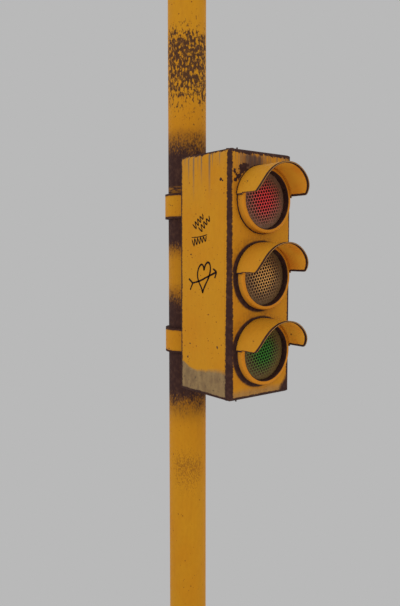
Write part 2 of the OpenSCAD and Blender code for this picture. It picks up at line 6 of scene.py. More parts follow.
import bmesh
import bpy
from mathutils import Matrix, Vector


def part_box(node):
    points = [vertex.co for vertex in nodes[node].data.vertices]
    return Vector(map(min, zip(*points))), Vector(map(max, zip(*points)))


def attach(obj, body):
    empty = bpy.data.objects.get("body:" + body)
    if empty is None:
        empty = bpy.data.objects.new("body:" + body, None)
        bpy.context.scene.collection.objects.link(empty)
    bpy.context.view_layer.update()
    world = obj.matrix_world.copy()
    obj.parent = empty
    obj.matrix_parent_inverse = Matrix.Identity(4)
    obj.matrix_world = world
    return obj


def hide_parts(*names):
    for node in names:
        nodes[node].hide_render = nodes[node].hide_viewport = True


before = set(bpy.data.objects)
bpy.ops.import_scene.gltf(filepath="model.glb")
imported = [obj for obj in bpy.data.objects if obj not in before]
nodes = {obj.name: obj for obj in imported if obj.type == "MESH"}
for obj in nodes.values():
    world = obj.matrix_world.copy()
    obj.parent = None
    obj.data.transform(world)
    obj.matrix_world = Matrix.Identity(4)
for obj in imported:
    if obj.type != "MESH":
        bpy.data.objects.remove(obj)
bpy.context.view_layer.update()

scene = bpy.context.scene
LENS_NAMES = ("red", "amber", "green")

# ---- Places read from the frame ----

door_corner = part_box("door_panel")[0]
ends_low, ends_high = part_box("casing_ends")
tube_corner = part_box("pole_tube")[1]
HEAD_LEFT, HEAD_RIGHT = door_corner.x, -door_corner.x
HEAD_FRONT, HEAD_BACK = door_corner.y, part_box("casing_back")[1].y
HEAD_BOTTOM, HEAD_TOP = ends_low.z, ends_high.z
POLE_RADIUS, POLE_TOP = tube_corner.x, tube_corner.z
PLATE_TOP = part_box("base_plate")[1].z


def lens_centre(name):
    """Height of the middle of one lens."""
    low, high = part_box("bezel_" + name)
    return (low.z + high.z) / 2


LENS_Z = {name: lens_centre(name) for name in LENS_NAMES}
BEZEL_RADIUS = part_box("bezel_red")[1].x
VISOR_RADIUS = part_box("visor_red")[1].z - LENS_Z["red"]


def linear(red, green, blue):
    """Linear colour of an 8-bit screen colour."""
    shares = [level / 255 for level in (red, green, blue)]
    return tuple(c / 12.92 if c <= 0.0405 else ((c + 0.055) / 1.055) ** 2.4 for c in shares) + (1.0,)


# ---- Camera, light and floor ----

CAMERA_PLACE = (-1.4145, HEAD_FRONT - 1.4823, HEAD_BOTTOM + 0.4802)
CAMERA_TILT, CAMERA_TURN = 85.28, -38.05
CAMERA_LENS, CAMERA_SENSOR, CAMERA_FAR = 37.2, 36, 60
# Name, place and power in watts of each soft light, and the size and aim of them all
LIGHTS = (("key", (-4.2, -1.6, 4.0), 40), ("fill", (1.6, -4.2, 3.0), 20))
LIGHT_SIZE = 3.0
LIGHT_AIM = (0, -0.25, 2.4)
TENT_STRENGTH = 0.92
BACKDROP = linear(185, 185, 185)
FLOOR_RADIUS = 1.85
FLOOR_DROP = 0.0005


def make_camera():
    """The view of a person on a ladder: left of the lenses, a little below the head's top."""
    data = bpy.data.cameras.new("camera")
    data.lens = CAMERA_LENS
    data.sensor_width = CAMERA_SENSOR
    data.clip_end = CAMERA_FAR
    camera = bpy.data.objects.new("camera", data)
    camera.location = CAMERA_PLACE
    camera.rotation_euler = (math.radians(CAMERA_TILT), 0, math.radians(CAMERA_TURN))
    scene.collection.objects.link(camera)
    scene.camera = camera


def make_light(name, place, power):
    """One round area light aimed at the head."""
    data = bpy.data.lights.new(name, "AREA")
    data.shape = "DISK"
    data.size = LIGHT_SIZE
    data.energy = power
    light = bpy.data.objects.new(name, data)
    light.location = place
    light.rotation_euler = (Vector(LIGHT_AIM) - Vector(place)).to_track_quat("-Z", "Y").to_euler()
    scene.collection.objects.link(light)


def make_world():
    """A plain grey backdrop that lights the object like a white studio tent."""
    world = bpy.data.worlds.new("studio")
    world.use_nodes = True
    tree = world.node_tree
    tree.nodes["Background"].inputs["Color"].default_value = (1, 1, 1, 1)
    tree.nodes["Background"].inputs["Strength"].default_value = TENT_STRENGTH
    backdrop = tree.nodes.new("ShaderNodeBackground")
    backdrop.inputs["Color"].default_value = BACKDROP
    seen = tree.nodes.new("ShaderNodeLightPath")
    choice = tree.nodes.new("ShaderNodeMixShader")
    tree.links.new(seen.outputs["Is Camera Ray"], choice.inputs[0])
    tree.links.new(tree.nodes["Background"].outputs[0], choice.inputs[1])
    tree.links.new(backdrop.outputs[0], choice.inputs[2])
    tree.links.new(choice.outputs[0], tree.nodes["World Output"].inputs["Surface"])
    scene.world = world
    scene.view_settings.view_transform = "Standard"


def make_floor():
    """A round pale studio floor under the pole."""
    bpy.ops.mesh.primitive_circle_add(vertices=128, radius=FLOOR_RADIUS, fill_type="NGON",
                                      location=(0, 0, -FLOOR_DROP))
    floor = bpy.context.object
    floor.name = "studio_floor"
    graph = Graph("floor_paint")
    graph.finish(color=linear(206, 206, 204), roughness=0.9)
    floor.data.materials.append(graph.material)


# ---- Shader building blocks ----

class Graph:
    """The nodes of one material, so that masks and colours can be written as formulas."""

    def __init__(self, name):
        self.material = bpy.data.materials.new(name)
        self.material.use_nodes = True
        self.tree = self.material.node_tree
        self.shader = self.tree.nodes["Principled BSDF"]
        coordinates = self.tree.nodes.new("ShaderNodeTexCoord")
        self.place = coordinates.outputs["Object"]
        split = self.node("ShaderNodeSeparateXYZ", {"Vector": self.place})
        self.x, self.y, self.z = split.outputs

    def node(self, kind, inputs=None, **settings):
        """A new node, with its settings, and its inputs linked or set."""
        made = self.tree.nodes.new(kind)
        for key, value in settings.items():
            setattr(made, key, value)
        for key, value in (inputs or {}).items():
            self.feed(made.inputs[key], value)
        return made

    def feed(self, socket, value):
        """Links another node's output to a socket, or sets a plain value on it."""
        if isinstance(value, bpy.types.NodeSocket):
            self.tree.links.new(value, socket)
        else:
            socket.default_value = value

    def math(self, operation, *values):
        """The result of one operation of Blender's math node."""
        return self.node("ShaderNodeMath", dict(enumerate(values)), operation=operation).outputs[0]

    def chain(self, operation, values):
        """One operation over any number of values."""
        total = values[0]
        for value in values[1:]:
            total = self.math(operation, total, value)
        return total

    def add(self, *values):
        return self.chain("ADD", values)

    def sub(self, a, b):
        return self.math("SUBTRACT", a, b)

    def mul(self, *values):
        return self.chain("MULTIPLY", values)

    def least(self, *values):
        return self.chain("MINIMUM", values)

    def most(self, *values):
        return self.chain("MAXIMUM", values)

    def ramp(self, value, start, end, low=0.0, high=1.0):
        """low where value is at start, high where it is at end, and a smooth change between."""
        made = self.node("ShaderNodeMapRange", {"Value": value, "From Min": start, "From Max": end,
                                                "To Min": low, "To Max": high},
                         interpolation_type="SMOOTHSTEP", clamp=True)
        return made.outputs["Result"]

    def inverse(self, mask):
        """1 where the mask is 0, and 0 where it is 1."""
        return self.sub(1.0, mask)

    def noise(self, scale, detail=3.0, stretch=(1, 1, 1), shift=0.0, roughness=0.55):
        """Cloud noise around 0.5. scale is in features a metre; stretch multiplies it along each axis."""
        spread = self.node("ShaderNodeMapping", {"Vector": self.place, "Scale": stretch,
                                                 "Location": (shift, shift * 0.7, shift * 1.3)})
        made = self.node("ShaderNodeTexNoise", {"Vector": spread.outputs[0], "Scale": scale,
                                                "Detail": detail, "Roughness": roughness})
        return made.outputs[0]

    def sway(self, scale, detail, amount, **settings):
        """Cloud noise around 0, and amount between its lowest and highest value."""
        return self.mul(self.sub(self.noise(scale, detail, **settings), 0.5), amount)

    def specks(self, cells, share, size, shift=0.0):
        """Scattered round dots: cells a metre, the share of cells that hold one, and its size in cells."""
        spread = self.node("ShaderNodeMapping", {"Vector": self.place, "Location": (shift, shift, shift)})
        made = self.node("ShaderNodeTexVoronoi", {"Vector": spread.outputs[0], "Scale": cells})
        chosen = self.node("ShaderNodeSeparateColor", {"Color": made.outputs["Color"]})
        held = self.ramp(chosen.outputs[0], 1.0 - share, 1.001 - share)
        dot = self.ramp(made.outputs["Distance"], size, size * 0.6)
        return self.mul(held, dot)

    def length(self, across, up):
        """Length of a step across and a step up."""
        return self.math("SQRT", self.add(self.mul(across, across), self.mul(up, up)))

    def radius(self, name):
        """Distance from the axis of one lens."""
        return self.length(self.x, self.sub(self.z, LENS_Z[name]))

    def mix(self, mask, under, over):
        """The colour under, and the colour over where the mask is 1."""
        return self.node("ShaderNodeMix", {0: mask, 6: under, 7: over}, data_type="RGBA").outputs[2]

    def mix_value(self, mask, under, over):
        """The number under, and the number over where the mask is 1."""
        return self.node("ShaderNodeMix", {0: mask, 2: under, 3: over}, data_type="FLOAT").outputs[0]

    def stops(self, value, pairs, colours=False):
        """A colour or grey ramp through (position, colour or value) pairs."""
        made = self.node("ShaderNodeValToRGB", {"Fac": value})
        elements = made.color_ramp.elements
        while len(elements) < len(pairs):
            elements.new(0.5)
        for element, (position, shade) in zip(elements, pairs):
            element.position = position
            element.color = shade if colours else (shade, shade, shade, 1)
        return made.outputs[0]

    def bump(self, height, distance, strength=1.0):
        """Normals of a relief whose height runs from 0 to 1 over the distance."""
        made = self.node("ShaderNodeBump", {"Height": height, "Distance": distance, "Strength": strength})
        return made.outputs[0]

    def finish(self, color, roughness, normal=None, metallic=0.0, specular=0.5):
        """Feeds the surface shader and returns the material."""
        inputs = {"Base Color": color, "Roughness": roughness, "Metallic": metallic,
                  "Specular IOR Level": specular}
        if normal is not None:
            inputs["Normal"] = normal
        for key, value in inputs.items():
            self.feed(self.shader.inputs[key], value)
        return self.material


# ---- Weathered paint ----

PAINT = linear(181, 124, 25)
PAINT_WARM = linear(178, 113, 20)
BARE = linear(53, 34, 31)
BARE_LIGHT = linear(70, 47, 39)
GRIME = linear(127, 108, 78)
GRIME_DARK = linear(99, 84, 66)
STREAK_GREY = linear(104, 88, 72)


def paint_colour(graph, base=PAINT, warm=PAINT_WARM):
    """Clean paint, gently mottled, with small dark specks."""
    mottle = graph.ramp(graph.noise(7, 4, shift=3), 0.35, 0.7)
    colour = graph.mix(graph.mul(mottle, 0.5), base, warm)
    fine = graph.ramp(graph.noise(90, 4, stretch=(1, 1, 0.5)), 0.3, 0.75)
    colour = graph.mix(graph.mul(fine, 0.12), colour, linear(130, 84, 20))
    dots = graph.most(graph.specks(34, 0.95, 0.095), graph.mul(graph.specks(60, 0.80, 0.110, 4), 0.85))
    return graph.mix(graph.mul(dots, 0.85), colour, linear(92, 44, 26)), dots


def finish_paint(graph, colour, bare, dots):
    """Satin paint, with rough dark metal where it is bare, a little lower than the paint."""
    metal_shade = graph.mix(graph.ramp(graph.noise(60, 5, shift=9), 0.42, 0.75), BARE, BARE_LIGHT)
    colour = graph.mix(bare, colour, metal_shade)
    worn = graph.most(bare, dots)
    grain = graph.noise(420, 3)
    pits = graph.noise(150, 5, shift=2)
    roughness = graph.mix_value(worn, graph.ramp(grain, 0.2, 0.8, 0.50, 0.62),
                                graph.ramp(pits, 0.2, 0.8, 0.70, 0.90))
    height = graph.add(graph.inverse(worn), graph.mul(grain, 0.10),
                       graph.mul(pits, graph.add(graph.mul(worn, 0.5), 0.12)))
    return graph.finish(colour, roughness, graph.bump(height, 0.0004, 0.6), specular=0.04)


def ragged(graph, scale, size, stretch=(1, 1, 1), shift=0.0):
    """Noise of about plus or minus size, which makes the border of a mask ragged."""
    return graph.sway(scale, 5, 4 * size, stretch=stretch, shift=shift, roughness=0.7)


def blot(graph, u, v, centre, half, shift):
    """One ragged patch round centre, half wide and high; u and v run across and up the face."""
    across = graph.math("DIVIDE", graph.sub(u, centre[0]), half[0])
    up = graph.math("DIVIDE", graph.sub(v, centre[1]), half[1])
    return graph.ramp(graph.add(graph.length(across, up), ragged(graph, 110, 0.75, shift=shift)), 1.12, 0.9)


# Flakes of paint gone: centre and half size. On the side: distance behind the front, height below the top
SIDE_FLAKES = (((0.045, 0.094), (0.006, 0.005)), ((0.036, 0.099), (0.004, 0.0025)),
               ((0.219, 0.680), (0.004, 0.003)), ((0.205, 0.632), (0.0035, 0.0025)),
               ((0.061, 0.630), (0.0035, 0.0045)), ((0.200, 0.330), (0.003, 0.002)))
# On the door: distance to the right of its middle, height below the top
DOOR_FLAKES = (((-0.081, 0.060), (0.018, 0.014)), ((-0.103, 0.087), (0.012, 0.0095)),
               ((-0.117, 0.072), (0.0060, 0.0085)), ((-0.116, 0.098), (0.0075, 0.0055)),
               ((-0.072, 0.050), (0.014, 0.007)), ((-0.092, 0.074), (0.006, 0.006)))
# Grey rain streaks down the side: distance from the back, half width, length
SIDE_STREAKS = ((0.055, 0.0055, 0.110), (0.082, 0.0065, 0.170), (0.124, 0.0055, 0.120),
                (0.166, 0.0080, 0.160), (0.181, 0.0035, 0.070), (0.216, 0.0040, 0.060),
                (0.105, 0.0030, 0.070), (0.034, 0.0035, 0.050))


def head_edges(graph):
    """Mask of the bare edges of the head's box: wide at the front uprights, ragged along the top."""
    from_side = graph.sub(HEAD_RIGHT, graph.math("ABSOLUTE", graph.x))
    from_front = graph.sub(graph.y, HEAD_FRONT)
    from_back = graph.sub(HEAD_BACK, graph.y)
    low_down = graph.ramp(graph.z, HEAD_TOP - 0.25, HEAD_BOTTOM + 0.1)
    spikes = graph.add(ragged(graph, 30, 0.0018, (1, 1, 9)), ragged(graph, 50, 0.0030, (1, 1, 2), 6))
    sway = ragged(graph, 12, 0.0016, shift=4)

    left = graph.add(0.0105, graph.mul(low_down, 0.0050))
    right = graph.add(0.0140, graph.mul(low_down, 0.0045))
    on_front = graph.mix_value(graph.ramp(graph.x, -0.001, 0.001), left, right)
    behind_front = graph.add(0.0150, graph.mul(low_down, 0.0050))
    front_edge = graph.most(graph.sub(from_side, on_front), graph.sub(from_front, behind_front))
    back_edge = graph.most(graph.sub(from_side, 0.010), graph.sub(from_back, 0.0172))
    uprights = graph.ramp(graph.add(graph.least(front_edge, back_edge), spikes, sway), 0.0026, -0.0012)

    below_top = graph.sub(HEAD_TOP, graph.z)
    above_bottom = graph.sub(graph.z, HEAD_BOTTOM)
    inwards = graph.least(from_side, from_front, from_back)
    drips = graph.add(ragged(graph, 34, 0.0050, (5, 5, 0.9), 7), ragged(graph, 28, 0.0062, shift=21))
    facing_front = graph.ramp(from_front, 0.014, 0.006)
    top_band = graph.mix_value(facing_front, 0.0085, 0.0130)
    top_edge = graph.most(graph.sub(below_top, graph.add(top_band, drips)), graph.sub(inwards, 0.019))
    bottom_edge = graph.most(graph.sub(above_bottom, graph.add(0.0125, graph.mul(drips, 0.35))),
                             graph.sub(inwards, 0.019))
    level_edge = graph.least(top_edge, bottom_edge)
    levels = graph.ramp(graph.add(level_edge, graph.mul(spikes, 0.3)), 0.0018, -0.0012)

    # The door's two right corners are bare further in
    corner_right = graph.sub(HEAD_RIGHT, graph.x)
    upper = graph.add(graph.mul(corner_right, 0.7), below_top)
    lower = graph.add(graph.mul(corner_right, 1.4), above_bottom)
    patchy = graph.add(ragged(graph, 50, 0.008), ragged(graph, 160, 0.007, shift=2))
    corners = graph.ramp(graph.add(graph.least(upper, graph.sub(lower, 0.056)), patchy), 0.046, 0.014)
    return graph.most(uprights, levels, graph.mul(corners, facing_front))


def ring_grime_and_shade(graph, name, direction, least, gain, soft):
    """Band on the door round a lens, widest towards direction, in degrees from +X: grime, and painted
    shade.
    """
    lens_z = LENS_Z[name]
    radius = graph.radius(name)
    towards = graph.add(graph.mul(graph.x, math.cos(math.radians(direction))),
                        graph.mul(graph.sub(graph.z, lens_z), math.sin(math.radians(direction))))
    facing = graph.most(graph.math("DIVIDE", towards, radius), 0.0)
    width = graph.add(graph.mul(facing, gain), least)
    skirt_z = lens_z + SKIRT_UP
    base = graph.ramp(graph.z, skirt_z - 0.001, skirt_z + 0.001, BEZEL_RADIUS, VISOR_RADIUS)
    border = graph.add(ragged(graph, 60, 0.0013, shift=5), ragged(graph, 260, 0.0012, shift=1))
    beyond = graph.add(graph.sub(graph.sub(radius, base), width), border)
    return graph.ramp(beyond, soft, -0.4 * soft)


def head_paint():
    """Casing and door paint: bare edges, rain streaks, grime low down and round the lenses, painted shade
    by the visors.
    """
    graph = Graph("head_paint")
    colour, dots = paint_colour(graph)
    on_door_face = graph.ramp(graph.y, HEAD_FRONT + 0.014, HEAD_FRONT + 0.006)
    on_left = graph.ramp(graph.x, HEAD_LEFT + 0.005, HEAD_LEFT + 0.002)
    below_top = graph.sub(HEAD_TOP, graph.z)
    behind = graph.sub(graph.y, HEAD_FRONT)

    # A browner door face
    shade = graph.ramp(graph.noise(16, 4, shift=27), 0.35, 0.7)
    browner = graph.mul(on_door_face, graph.mix_value(shade, 0.10, 0.28))
    colour = graph.mix(browner, colour, linear(176, 100, 26))

    # Rain streaks under the top edge: drawn ones on the left side, and random ones all round
    wobble = graph.sway(24, 2, 0.004)
    drawn = []
    for from_back, half, length in SIDE_STREAKS:
        off = graph.math("ABSOLUTE", graph.add(graph.sub(graph.y, HEAD_BACK - from_back), wobble))
        drawn.append(graph.mul(graph.ramp(off, half, half * 0.1),
                               graph.ramp(below_top, length, length * 0.1)))
    lines = graph.noise(26, 2, stretch=(5, 5, 0.14), shift=11)
    reach = graph.ramp(lines, 0.45, 0.72, 0.02, 0.13)
    loose = graph.mul(graph.ramp(lines, 0.52, 0.62), graph.ramp(graph.sub(reach, below_top), -0.02, 0.04))
    streaks = graph.mix_value(on_left, graph.mul(loose, 0.7), graph.mul(graph.most(*drawn), 0.9))
    colour = graph.mix(streaks, colour, STREAK_GREY)
    veil = graph.mul(graph.ramp(below_top, 0.20, 0.0),
                     graph.ramp(graph.noise(9, 3, shift=8), 0.35, 0.65), 0.22)
    colour = graph.mix(veil, colour, linear(150, 110, 62))

    # Dark streaky smear on the door between the top edge and the upper left visor
    smear_lines = graph.ramp(graph.noise(34, 5, stretch=(4, 4, 0.5), shift=33), 0.24, 0.40)
    smear_x = graph.mul(graph.ramp(graph.x, -0.100, -0.060), graph.ramp(graph.x, 0.012, -0.012))
    smear_end = graph.add(below_top, ragged(graph, 20, 0.010, (3, 3, 1)))
    smear_start = graph.add(below_top, ragged(graph, 30, 0.008, (3, 3, 1), 6))
    smear_z = graph.mul(graph.ramp(smear_end, 0.075, 0.050), graph.ramp(smear_start, 0.010, 0.024))
    smear = graph.mul(smear_lines, smear_x, smear_z, on_door_face)
    colour = graph.mix(graph.mul(smear, 0.90), colour, linear(72, 54, 50))
    thin = graph.ramp(graph.noise(30, 3, stretch=(6, 6, 0.35), shift=37), 0.50, 0.64)
    right_streaks = graph.mul(thin, graph.ramp(below_top, 0.055, 0.030), on_door_face)
    colour = graph.mix(graph.mul(right_streaks, 0.6), colour, linear(104, 82, 62))

    # Grey-tan grime along the bottom, lower and thinner on the door
    above = graph.sub(graph.z, HEAD_BOTTOM)
    dip = graph.most(graph.ramp(behind, 0.19, 0.26, 0.0, 0.022),
                     graph.ramp(behind, 0.16, 0.03, 0.0, 0.016))
    line = graph.add(graph.mix_value(on_door_face, graph.add(dip, 0.087), 0.038),
                     ragged(graph, 14, 0.0060, shift=12), ragged(graph, 70, 0.0030, shift=16))
    soft = graph.ramp(behind, 0.20, 0.05, 0.008, 0.020)
    grime = graph.ramp(graph.math("DIVIDE", graph.sub(line, above), soft), -0.2, 1.0)
    lines = graph.ramp(graph.noise(30, 6, stretch=(1.4, 1.4, 0.8), shift=13, roughness=0.65), 0.36, 0.66)
    colour = graph.mix(graph.mul(grime, graph.mix_value(on_door_face, 0.88, 0.5)), colour,
                       graph.mix(lines, GRIME, GRIME_DARK))
    spots = graph.mul(grime, graph.ramp(graph.noise(120, 4, shift=43), 0.62, 0.67))
    colour = graph.mix(graph.mul(spots, 0.7), colour, linear(72, 62, 50))

    # Dark grime rings on the door round the lenses, and a wider painted shade in the crease round each
    # visor
    rings = graph.most(ring_grime_and_shade(graph, "red", 215, 0.0018, 0.0010, 0.0012),
                       ring_grime_and_shade(graph, "amber", 190, 0.0046, 0.0110, 0.0050),
                       ring_grime_and_shade(graph, "green", 190, 0.0056, 0.0110, 0.0050))
    visor_painted_shade = graph.most(ring_grime_and_shade(graph, "red", 100, 0.0, 0.008, 0.016),
                      ring_grime_and_shade(graph, "amber", 150, 0.007, 0.016, 0.022),
                      ring_grime_and_shade(graph, "green", 120, 0.009, 0.018, 0.024))
    painted_shade_grain = graph.ramp(graph.noise(120, 5, stretch=(1, 1, 0.6), shift=45), 0.40, 0.60)
    visor_painted_shade = graph.mul(visor_painted_shade, painted_shade_grain, on_door_face)
    # Painted shade: darker paint round each visor where it meets the door, broken up by noise
    colour = graph.mix(graph.mul(visor_painted_shade, 0.30), colour, linear(92, 58, 30))

    flakes = [graph.mul(blot(graph, behind, below_top, centre, half, 50 + k), on_left)
              for k, (centre, half) in enumerate(SIDE_FLAKES)]
    flakes += [graph.mul(blot(graph, graph.x, below_top, centre, half, 70 + k), on_door_face)
               for k, (centre, half) in enumerate(DOOR_FLAKES)]
    worn = graph.most(head_edges(graph), graph.mul(rings, on_door_face), *flakes)
    return finish_paint(graph, colour, worn, dots)


# How far the pole's paint is lost at each height: 0 is sound and 1 is bare
POLE_LOSS = ((0.02, 0.7), (0.09, 0.42), (0.20, 0.12), (0.45, 0.0), (1.91, 0.0), (1.955, 0.16),
             (1.99, 0.34), (2.03, 0.56), (2.055, 0.86), (2.075, 1.0), (2.36, 1.0),
             (2.395, 0.72), (2.43, 0.34), (2.465, 0.12), (2.55, 0.14), (2.585, 0.40), (2.62, 0.92),
             (2.65, 1.0), (2.87, 1.0), (2.905, 0.92), (2.95, 0.62), (2.995, 0.36), (3.03, 0.08),
             (3.06, 0.0))
# The dense speckled patch high on the pole, and the faint one below the head
UPPER_PATCH = ((2.99, 0.0), (3.03, 0.10), (3.09, 0.17), (3.14, 0.27), (3.18, 0.33), (3.30, 0.36),
               (3.35, 0.30), (3.385, 0.15), (3.43, 0.03), (3.46, 0.0))
LOWER_PATCH = ((1.62, 0.0), (1.69, 0.16), (1.78, 0.33), (1.88, 0.0))


def by_height(graph, pairs):
    """A value that changes with height through (height, value) pairs."""
    height = graph.math("DIVIDE", graph.z, POLE_TOP)
    return graph.stops(height, [(z / POLE_TOP, share) for z, share in pairs])


def pole_paint():
    """Paint of the pole: bare behind the head, with soft mottled borders and speckled patches."""
    graph = Graph("pole_paint")
    colour, dots = paint_colour(graph)
    grain = graph.sway(210, 4, 1.7, stretch=(1, 1, 0.55), roughness=0.7)
    drift = graph.sway(26, 3, 0.5, stretch=(1, 1, 0.6), shift=23)
    loss = by_height(graph, POLE_LOSS)
    amount = graph.add(loss, grain, drift)
    worn = graph.mul(graph.ramp(amount, 0.18, 0.82), graph.ramp(loss, 0.0, 0.25))

    # A golden smear is left just above the upper clamp
    clamp_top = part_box("upper_clamp")[1].z
    smear = graph.mul(graph.ramp(graph.z, clamp_top + 0.030, clamp_top + 0.020),
                      graph.ramp(graph.noise(60, 4, stretch=(0.5, 0.5, 3), shift=29), 0.42, 0.56),
                      graph.ramp(graph.z, clamp_top, clamp_top + 0.004))
    worn = graph.mul(worn, graph.inverse(graph.mul(smear, 0.6)))

    # Speckles: large blots in the upper patch, dust in the lower one, both thinner away from the front left
    facing = graph.add(graph.mul(graph.x, -0.58), graph.mul(graph.y, -0.81))
    towards = graph.math("DIVIDE", facing, POLE_RADIUS)
    outward = graph.ramp(towards, 0.15, 0.60, 0.72, 1.0)
    blots = graph.noise(105, 3, stretch=(1.1, 1.1, 0.65), shift=31, roughness=0.6)
    patch = graph.add(blots, graph.mul(by_height(graph, UPPER_PATCH), outward))
    worn = graph.most(worn, graph.mul(graph.ramp(patch, 0.72, 0.86), 0.93))
    centred = graph.ramp(towards, 0.20, 0.98)
    dust = graph.add(graph.noise(220, 3, stretch=(1, 1, 0.7), shift=41),
                     graph.mul(by_height(graph, LOWER_PATCH), centred))
    colour = graph.mix(graph.mul(graph.ramp(dust, 0.66, 0.92), 0.60), colour, linear(108, 64, 26))

    # Browner paint round the bare stretches, and down the edges of the streaks
    halo = graph.mul(graph.ramp(loss, 0.0, 0.4), 0.55)
    colour = graph.mix(halo, colour, linear(120, 72, 22))
    runs = graph.ramp(graph.noise(22, 3, stretch=(2, 2, 0.25), shift=17), 0.52, 0.78)
    colour = graph.mix(graph.mul(runs, 0.22), colour, linear(150, 92, 24))
    return finish_paint(graph, colour, worn, dots)


def clamp_paint():
    """Paint of the clamps: bare along the top and bottom rims, with a few scuffs."""
    graph = Graph("clamp_paint")
    colour, dots = paint_colour(graph)
    rims = []
    for name in ("upper_clamp", "lower_clamp"):
        low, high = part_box(name)
        off_middle = graph.math("ABSOLUTE", graph.sub(graph.z, (low.z + high.z) / 2))
        rims.append(graph.sub(off_middle, (high.z - low.z) / 2))
    nearest = graph.least(*[graph.math("ABSOLUTE", rim) for rim in rims])
    border = ragged(graph, 90, 0.0020, (1, 1, 0.6), 3)
    worn = graph.ramp(graph.add(nearest, border), 0.0092, 0.0060)
    worn = graph.most(worn, graph.ramp(graph.noise(34, 5, shift=15), 0.70, 0.72))
    shade = graph.ramp(nearest, 0.016, 0.004, 0.0, 0.35)
    colour = graph.mix(shade, colour, linear(126, 76, 24))
    return finish_paint(graph, colour, worn, dots)


def bezel_paint():
    """Paint of the rings round the lenses: a bore dark with dirt and painted shade, and a dark foot with
    painted shade at the door.
    """
    graph = Graph("bezel_paint")
    colour, dots = paint_colour(graph, linear(183, 126, 36), linear(181, 113, 32))
    radius = graph.least(*[graph.radius(name) for name in LENS_NAMES])
    in_front = graph.sub(HEAD_FRONT, graph.y)
    border = ragged(graph, 120, 0.0006, shift=4)
    # The bore is bare dark metal: dirt, and painted shade in the recess
    bore_dirt_and_shade = graph.ramp(graph.add(radius, border), 0.0958, 0.0946)
    foot_height = graph.ramp(graph.z, LENS_Z["red"] - 0.14, LENS_Z["red"] - 0.11, 0.0055, 0.0022)
    foot = graph.ramp(graph.sub(graph.add(in_front, border), foot_height), 0.0008, -0.0004)
    # Painted shade: browner paint on the ring's side close to the door
    foot_painted_shade = graph.ramp(in_front, 0.014, 0.004, 0.0, 0.35)
    face = graph.ramp(in_front, 0.017, 0.025)
    colour = graph.mix(graph.mul(face, 0.4), colour, linear(190, 110, 12))
    colour = graph.mix(foot_painted_shade, colour, linear(140, 84, 24))
    worn = graph.most(bore_dirt_and_shade, foot)
    return finish_paint(graph, colour, worn, dots)


# Stored on the vertices: distance from the rim, place in the sheet's thickness, and 1 on the inside
VISOR_ATTRIBUTES = ("rim_distance", "rim_face", "inside")


def visor_paint():
    """Paint of the visors: dark rim lines with a painted highlight between, and painted light inside,
    lighter and warmer.
    """
    graph = Graph("visor_paint")
    colour, dots = paint_colour(graph, linear(183, 127, 32), linear(182, 116, 27))
    rim, across, inside = [graph.node("ShaderNodeAttribute", attribute_name=name).outputs["Fac"]
                           for name in VISOR_ATTRIBUTES]
    # Painted light: the inside of the hood is lighter and warmer than the outside
    colour = graph.mix(inside, colour, graph.mix(graph.ramp(graph.noise(12, 3), 0.35, 0.7),
                                                 linear(220, 152, 44), linear(212, 133, 36)))
    border = ragged(graph, 110, 0.0011, shift=14)
    on_sheet = graph.ramp(graph.add(rim, border), 0.0096, 0.0072)
    off_core = graph.ramp(graph.math("ABSOLUTE", across), 0.06, 0.17)
    worn = graph.mul(on_sheet, off_core)
    # Painted highlight: a paler line along the middle of the rim's edge
    rim_painted_highlight = graph.mul(on_sheet, graph.inverse(off_core))
    colour = graph.mix(graph.mul(rim_painted_highlight, 0.6), colour, linear(190, 150, 92))
    scuffs = graph.ramp(graph.noise(38, 5, stretch=(1, 1, 1.6), shift=19), 0.70, 0.72)
    worn = graph.most(worn, graph.mul(scuffs, 0.7))
    in_front = graph.sub(HEAD_FRONT, graph.y)
    foot = graph.ramp(graph.add(in_front, border), 0.0026, 0.0014)
    worn = graph.most(worn, foot)
    seam = graph.mul(graph.ramp(in_front, 0.032, 0.027), graph.ramp(in_front, 0.024, 0.027), inside, 0.55)
    colour = graph.mix(seam, colour, linear(150, 62, 20))
    return finish_paint(graph, colour, worn, dots)


def base_paint():
    """Paint of the base and the small covers: rust at the lowest edges and in patches."""
    graph = Graph("base_paint")
    colour, dots = paint_colour(graph)
    low = graph.ramp(graph.add(graph.z, graph.mul(graph.noise(30, 5), 0.08)), 0.09, 0.045)
    patches = graph.ramp(graph.noise(22, 6, shift=25, roughness=0.65), 0.60, 0.64)
    worn = graph.most(graph.mul(low, 0.85), patches)
    return finish_paint(graph, colour, worn, dots)


# ---- Other materials ----

def metal(name, shade, dull, roughness, grain=(1, 1, 1)):
    """Metal with fine scratches and dull patches; grain stretches the scratches along each axis."""
    graph = Graph(name)
    patches = graph.ramp(graph.noise(35, 4, shift=2), 0.4, 0.7)
    scratches = graph.noise(600, 2, stretch=grain)
    rough = graph.ramp(scratches, 0.2, 0.8, roughness - 0.08, roughness + 0.12)
    return graph.finish(graph.mix(patches, shade, dull), rough,
                        graph.bump(scratches, 0.00008, 0.5), metallic=0.85)


def plastic(name, shade, worn_shade, roughness):
    """Moulded plastic or rubber with a fine grain and pale scuffs."""
    graph = Graph(name)
    scuffs = graph.ramp(graph.noise(40, 5, shift=6), 0.5, 0.75)
    grain = graph.noise(800, 2)
    return graph.finish(graph.mix(graph.mul(scuffs, 0.5), shade, worn_shade),
                        graph.ramp(scuffs, 0.0, 1.0, roughness, min(1.0, roughness + 0.2)),
                        graph.bump(grain, 0.00006, 0.5))


